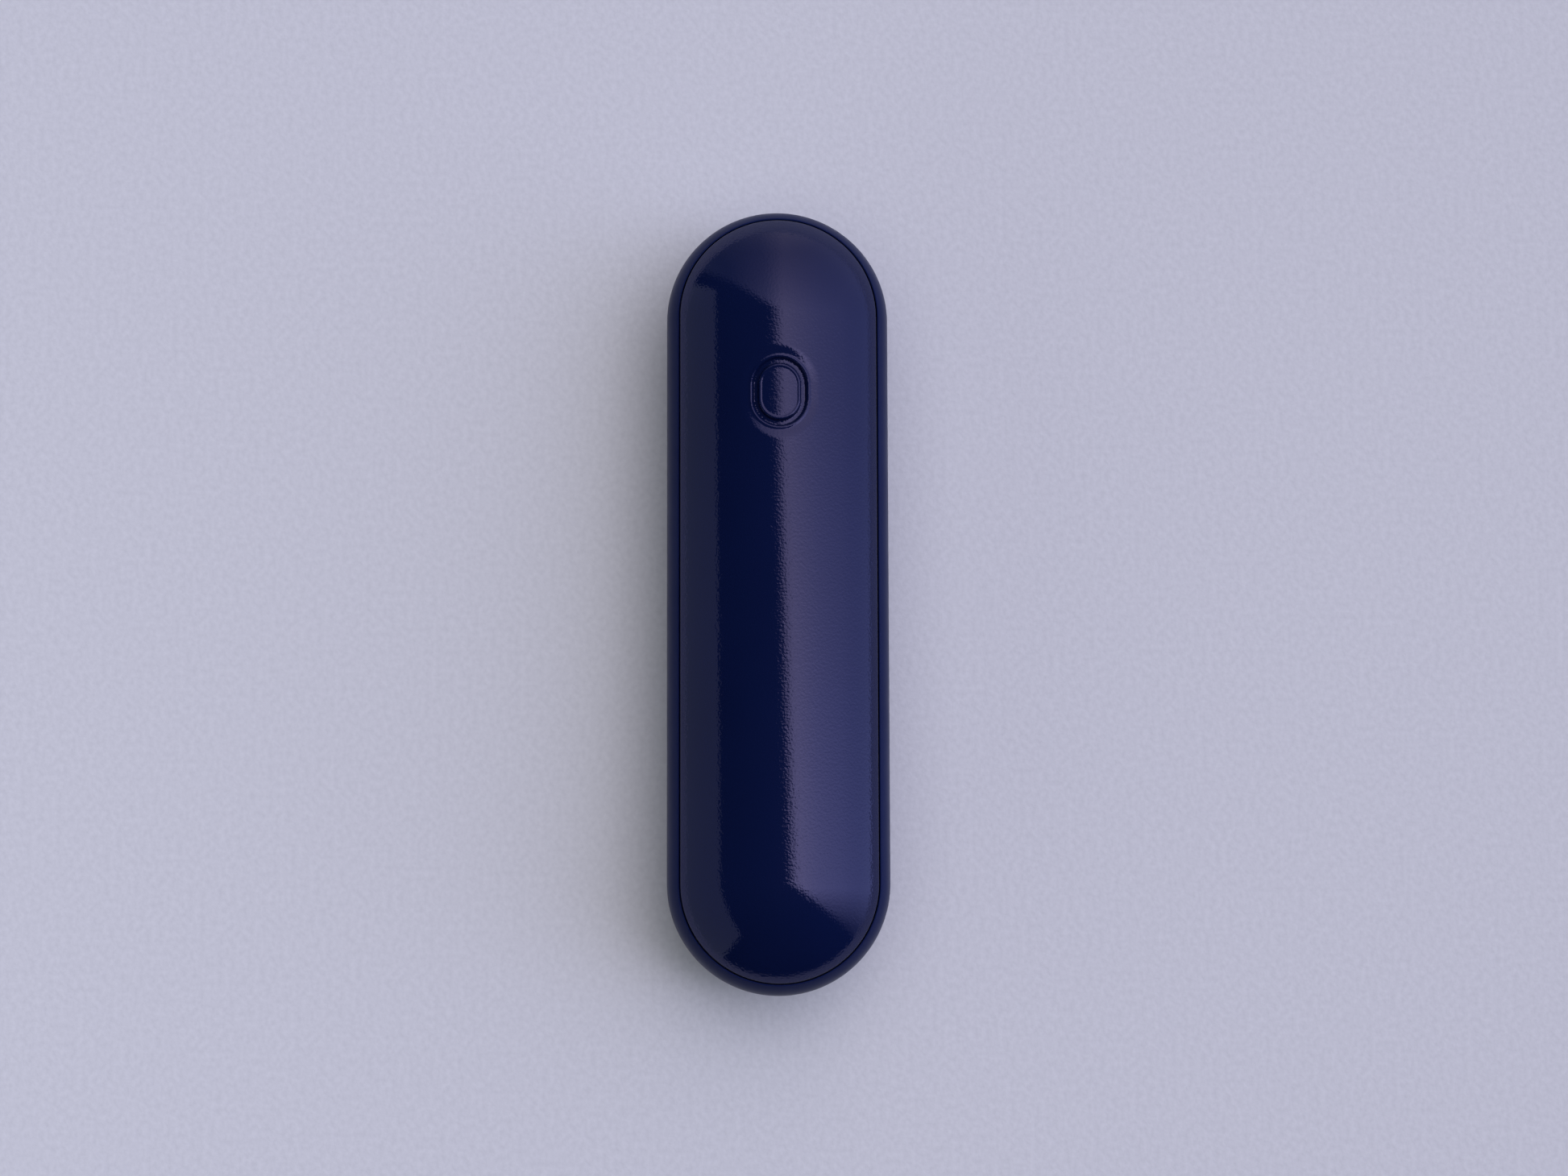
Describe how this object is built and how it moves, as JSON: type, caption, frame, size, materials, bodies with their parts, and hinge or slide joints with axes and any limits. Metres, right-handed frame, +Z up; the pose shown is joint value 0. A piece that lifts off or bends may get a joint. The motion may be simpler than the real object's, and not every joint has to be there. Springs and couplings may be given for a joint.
{
  "type": "wireless earbuds charging case",
  "caption": "Slim stadium-shaped charging case with a hinged gloss lid, an inner tray and stem-type wireless earbuds lying inside.",
  "frame": {"origin": "middle of the underside the case rests on", "axes": "+X along the case, +Y to the hinge at the back, +Z up through the lid"},
  "size_m": [0.092, 0.026, 0.02],
  "materials": {
    "lid_gloss": "gloss",
    "base_satin": "satin",
    "tray_black": "satin",
    "liner_black": "satin",
    "bud_gloss": "gloss",
    "bud_satin": "satin",
    "silicone": "matte",
    "steel": "brushed",
    "gold": "polished",
    "magnet": "nickel plated",
    "cell": "foil",
    "board": "solder mask",
    "chip": "moulded",
    "tape": "foam",
    "clear": "clear",
    "black_plastic": "matte"
  },
  "bodies": {
    "base": {"base_shell": "base_satin", "inner_tray": "tray_black", "hinge_bracket": "steel", "hinge_pin": "steel", "hinge_screws": "steel", "battery_cell": "cell", "battery_tape": "tape", "battery_lead": "gold", "main_board": "board", "board_chips": "chip", "board_screws": "steel", "usb_socket": "steel", "tact_switch": "black_plastic", "status_led": "clear", "light_pipe": "clear", "hall_sensor": "chip", "contact_block_right": "black_plastic", "contact_block_left": "black_plastic", "tray_magnets": "magnet", "closure_magnets": "magnet", "bud_right_cap": "bud_gloss", "bud_right_body": "bud_satin", "bud_right_ear_tip": "silicone", "bud_right_nozzle_mesh": "steel", "bud_right_driver": "black_plastic", "bud_right_cell": "cell", "bud_right_board": "board", "bud_right_magnet": "magnet", "bud_right_contacts": "gold", "bud_right_mic_mesh": "steel", "bud_left_cap": "bud_gloss", "bud_left_body": "bud_satin", "bud_left_ear_tip": "silicone", "bud_left_nozzle_mesh": "steel", "bud_left_driver": "black_plastic", "bud_left_cell": "cell", "bud_left_board": "board", "bud_left_magnet": "magnet", "bud_left_contacts": "gold", "bud_left_mic_mesh": "steel"},
    "lid": {"lid_shell": "lid_gloss", "lid_liner": "liner_black", "lid_magnets": "magnet"},
    "pairing_button": {"pairing_button": "base_satin"},
    "contact_pin_right_inner": {"contact_pin_right_inner": "gold"},
    "contact_pin_right_outer": {"contact_pin_right_outer": "gold"},
    "contact_pin_left_inner": {"contact_pin_left_inner": "gold"},
    "contact_pin_left_outer": {"contact_pin_left_outer": "gold"}
  },
  "joints": [
    {"name": "lid_hinge", "type": "hinge", "parent": "base", "child": "lid", "pos_m": [0, 0.00937, 0.01495], "axis": [-1, 0, 0], "range_deg": [0, 95]},
    {"name": "button_press", "type": "slide", "parent": "base", "child": "pairing_button", "axis": [0, -1, 0], "range_m": [0, 0.0003], "stiffness_N_per_m": 900},
    {"name": "pin_right_inner_slide", "type": "slide", "parent": "base", "child": "contact_pin_right_inner", "axis": [0, 0, -1], "range_m": [0, 0.0004], "stiffness_N_per_m": 600},
    {"name": "pin_right_outer_slide", "type": "slide", "parent": "base", "child": "contact_pin_right_outer", "axis": [0, 0, -1], "range_m": [0, 0.0004], "stiffness_N_per_m": 600},
    {"name": "pin_left_inner_slide", "type": "slide", "parent": "base", "child": "contact_pin_left_inner", "axis": [0, 0, -1], "range_m": [0, 0.0004], "stiffness_N_per_m": 600},
    {"name": "pin_left_outer_slide", "type": "slide", "parent": "base", "child": "contact_pin_left_outer", "axis": [0, 0, -1], "range_m": [0, 0.0004], "stiffness_N_per_m": 600}
  ]
}
